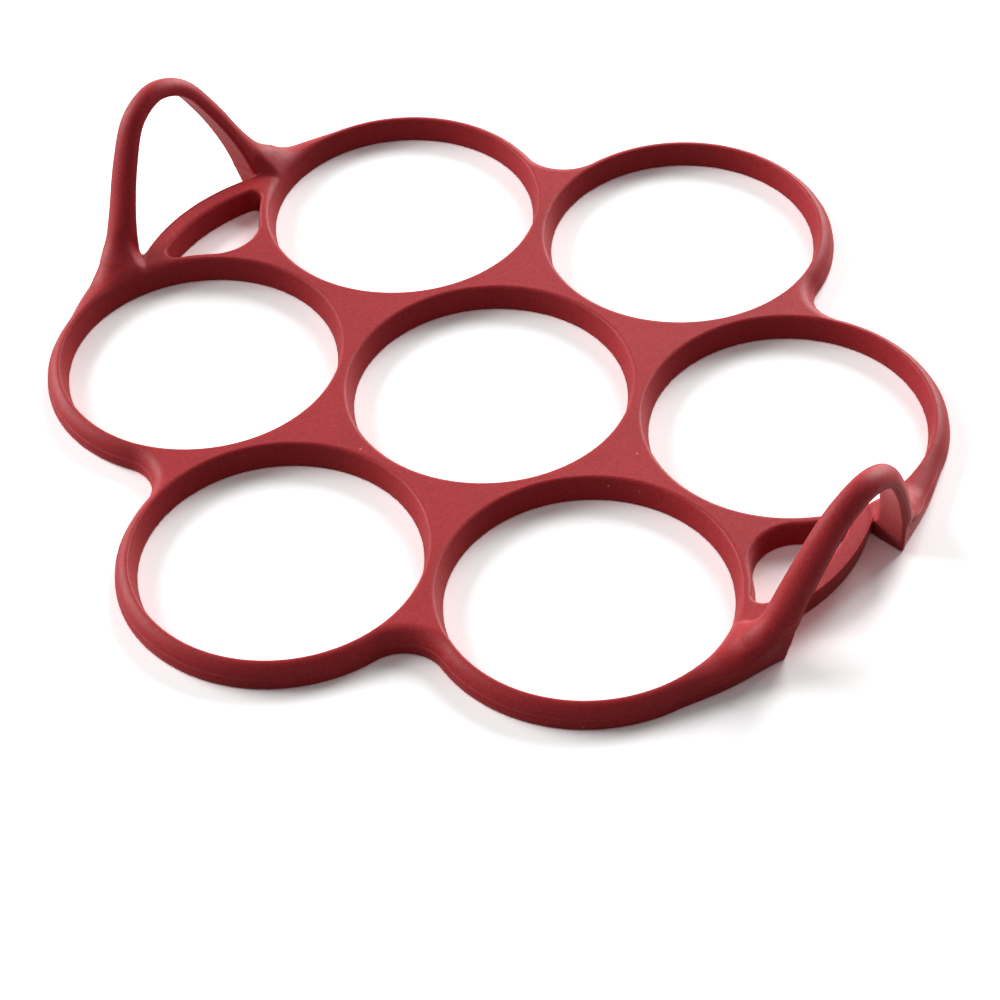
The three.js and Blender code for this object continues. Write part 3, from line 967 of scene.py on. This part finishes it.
class NodeTree:
    """The nodes of a material or world, each added with its inputs in one call."""

    def __init__(self, owner):
        owner.use_nodes = True
        self.nodes = owner.node_tree.nodes
        self.links = owner.node_tree.links
        self.nodes.clear()

    def fill(self, socket, value):
        if isinstance(value, bpy.types.NodeSocket):
            self.links.new(value, socket)
        else:
            socket.default_value = value

    def add(self, kind, output, inputs, **settings):
        """Adds a node. Its inputs are values or other nodes' outputs. Gives the named output."""
        node = self.nodes.new(kind)
        for setting, value in settings.items():
            setattr(node, setting, value)
        for name, value in inputs.items():
            self.fill(node.inputs[name], value)
        return node.outputs[output] if node.outputs else None

    def ramp(self, source, places, low, high):
        """A colour that goes from low to high as the source goes between two places."""
        node = self.nodes.new("ShaderNodeValToRGB")
        for element, place, colour in zip(node.color_ramp.elements, places, (low, high)):
            element.position = place
            element.color = colour
        self.links.new(source, node.inputs["Fac"])
        return node.outputs["Color"]

    def mixed(self, kind, share, first, second):
        """Two colours mixed."""
        node = self.nodes.new("ShaderNodeMix")
        node.data_type = "RGBA"
        node.blend_type = kind
        for name, value in zip(("Factor", "A", "B"), (share, first, second)):
            self.fill(next(s for s in node.inputs if s.name == name and s.enabled), value)
        return next(s for s in node.outputs if s.enabled)

    def greater(self, first, second):
        return self.add("ShaderNodeMath", 0, {0: first, 1: second}, operation="MAXIMUM")

    def seen(self):
        """1 for the camera and in mirrors and glass, to which the studio is plain white."""
        rays = self.nodes.new("ShaderNodeLightPath").outputs
        direct = self.greater(rays["Is Camera Ray"], rays["Is Glossy Ray"])
        return self.greater(direct, rays["Is Transmission Ray"])


def silicone():
    """Matt silicone: a dark red with faint clouding, a fine grain and rare pale specks."""
    material = bpy.data.materials.new("silicone_red")
    tree = NodeTree(material)
    place = tree.add("ShaderNodeTexCoord", "Object", {})

    def noise(scale, detail, roughness=0.5):
        inputs = {"Vector": place, "Scale": scale, "Detail": detail, "Roughness": roughness}
        return tree.add("ShaderNodeTexNoise", "Fac", inputs)

    def bump(height, depth, strength, below=None):
        inputs = {"Height": height, "Distance": depth, "Strength": strength}
        if below:
            inputs["Normal"] = below
        return tree.add("ShaderNodeBump", "Normal", inputs)

    dark, light = srgb(*silicone_dark), srgb(*silicone_light)
    clouds = tree.ramp(noise(cloud_scale, 3), cloud_range, dark, light)
    grain = noise(grain_scale, 3, grain_roughness)
    grain = tree.ramp(grain, grain_range, grain_dark, grain_light)
    colour = tree.mixed("MULTIPLY", 1.0, clouds, grain)
    inputs = {"Vector": place, "Scale": speck_scale}
    distance = tree.add("ShaderNodeTexVoronoi", "Distance", inputs)
    dots = tree.ramp(distance, speck_edge, grey(1), grey(0))
    chance = tree.ramp(distance.node.outputs["Color"], speck_chance, grey(0), grey(1))
    specks = tree.mixed("MULTIPLY", 1.0, dots, chance)
    smear = tree.ramp(noise(smear_scale, 3), smear_range, grey(smoothest), grey(roughest))
    broad = bump(noise(broad_bump_scale, 2), broad_bump_depth, 0.25)
    shader = {
        "Base Color": tree.mixed("MIX", specks, colour, srgb(*speck_colour)),
        "Roughness": smear,
        "IOR": 1.42,
        "Specular IOR Level": 0.3,
        "Subsurface Weight": 0.25,
        "Subsurface Radius": (1.0, 0.25, 0.2),
        "Subsurface Scale": glow_depth,
        "Sheen Weight": 0.6,
        "Sheen Roughness": 0.36,
        "Sheen Tint": srgb(*sheen_colour),
        "Normal": bump(noise(fine_bump_scale, 3, 0.6), fine_bump_depth, 0.7, broad),
    }
    surface = tree.add("ShaderNodeBsdfPrincipled", "BSDF", shader)
    tree.add("ShaderNodeOutputMaterial", 0, {"Surface": surface})
    return material


def floor_material():
    """Overexposed white for the camera, with the object's soft shadow, and plain white far off."""
    material = bpy.data.materials.new("floor_white")
    tree = NodeTree(material)
    camera_ray = tree.add("ShaderNodeLightPath", "Is Camera Ray", {})
    level = {0: camera_ray, 1: floor_seen_gain, 2: floor_level}
    level = tree.add("ShaderNodeMath", 0, level, operation="MULTIPLY_ADD")
    surface = tree.add("ShaderNodeBsdfDiffuse", 0, {"Color": level})
    white = tree.add("ShaderNodeEmission", 0, {"Color": grey(1), "Strength": 1.0})

    place = tree.add("ShaderNodeTexCoord", "Object", {})
    distance = tree.add("ShaderNodeVectorMath", "Value", {0: place}, operation="LENGTH")
    fade = {"Value": distance, "From Min": floor_fade_start, "From Max": floor_fade_end}
    fade = tree.add("ShaderNodeMapRange", "Result", fade, interpolation_type="SMOOTHSTEP")
    share = tree.add("ShaderNodeMath", 0, {0: fade, 1: tree.seen()}, operation="MULTIPLY")
    both = tree.add("ShaderNodeMixShader", 0, {0: share, 1: surface, 2: white})
    tree.add("ShaderNodeOutputMaterial", 0, {"Surface": both})
    return material


# Stage


def make_floor():
    reach, level = floor_reach, -floor_drop
    corners = [(-reach, -reach), (reach, -reach), (reach, reach), (-reach, reach)]
    mesh = bpy.data.meshes.new("floor")
    mesh.from_pydata([(x, y, level) for x, y in corners], [], [(0, 1, 2, 3)])
    floor = bpy.data.objects.new("floor", mesh)
    floor.data.materials.append(floor_material())
    bpy.context.scene.collection.objects.link(floor)


def make_world():
    """A dim even light, which the camera sees as plain white."""
    world = bpy.data.worlds.new("studio")
    bpy.context.scene.world = world
    tree = NodeTree(world)
    light = tree.add("ShaderNodeBackground", 0, {"Color": grey(1), "Strength": world_level})
    white = tree.add("ShaderNodeBackground", 0, {"Color": grey(1), "Strength": 1.0})
    both = tree.add("ShaderNodeMixShader", 0, {0: tree.seen(), 1: light, 2: white})
    tree.add("ShaderNodeOutputWorld", 0, {"Surface": both})


def make_lamps():
    """Soft square lamps that look at the tray."""
    rise = math.radians(lamp_elevation)
    for name, power in lamp_powers.items():
        turn = math.radians(lamp_azimuths[name])
        direction = Vector(
            (math.cos(turn) * math.cos(rise), math.sin(turn) * math.cos(rise), math.sin(rise))
        )
        lamp = bpy.data.lights.new(name, "AREA")
        lamp.size = lamp_size
        lamp.energy = power
        light = bpy.data.objects.new(name, lamp)
        light.location = direction * lamp_distance
        light.rotation_mode = "QUATERNION"
        light.rotation_quaternion = direction.to_track_quat("Z", "Y")
        bpy.context.scene.collection.objects.link(light)


def make_camera():
    """The photograph's viewpoint."""
    turn, rise, roll = map(math.radians, (camera_azimuth, camera_elevation, camera_roll))
    back = Vector(
        (math.sin(turn) * math.cos(rise), -math.cos(turn) * math.cos(rise), math.sin(rise))
    )
    right = (-back).cross(Vector((0, 0, 1))).normalized()
    up = back.cross(right)
    x_axis = right * math.cos(roll) - up * math.sin(roll)
    y_axis = up * math.cos(roll) + right * math.sin(roll)
    camera = bpy.data.objects.new("camera", bpy.data.cameras.new("camera"))
    place = Matrix((x_axis, y_axis, back)).transposed().to_4x4()
    place.translation = Vector(camera_place) * MM
    camera.matrix_world = place
    camera.data.sensor_width = sensor_width
    camera.data.lens = lens
    camera.data.shift_x, camera.data.shift_y = lens_shift
    camera.data.clip_start = 0.01
    camera.data.clip_end = 50.0
    bpy.context.scene.collection.objects.link(camera)
    bpy.context.scene.camera = camera


# Pieces


def bend_with_handle(piece):
    """Bakes a piece's placement into its mesh; nothing here bends it as the handle turns."""
    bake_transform(piece)


def dress(piece, name, body_of):
    """Lets a piece stand for its CAD node, whose own mesh is hidden, and hangs it on that node's
    body; necks and loops only have their placement baked.
    """
    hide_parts(name)
    if name.startswith(("handle_neck", "handle_loop")):
        bend_with_handle(piece)
    else:
        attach(piece, body_of[name])


def make_pieces():
    axes, values = field_grid()
    points, faces = net_of(axes, values)
    points = on_surface(points)
    points, faces = mirrored_whole(points, faces)
    bodies = frame["record"]["behaviour"]["bodies"]
    body_of = {node: body for body, nodes in bodies.items() for node in nodes}
    material = silicone()
    for name, region in regions().items():
        piece = finish_piece(name + "_skin", cut_out(name, region, points, faces))
        piece.data.materials.append(material)
        dress(piece, name, body_of)
    make_flash(material)


make_pieces()
make_floor()
make_world()
make_lamps()
make_camera()
bpy.context.scene.view_settings.view_transform = "Standard"
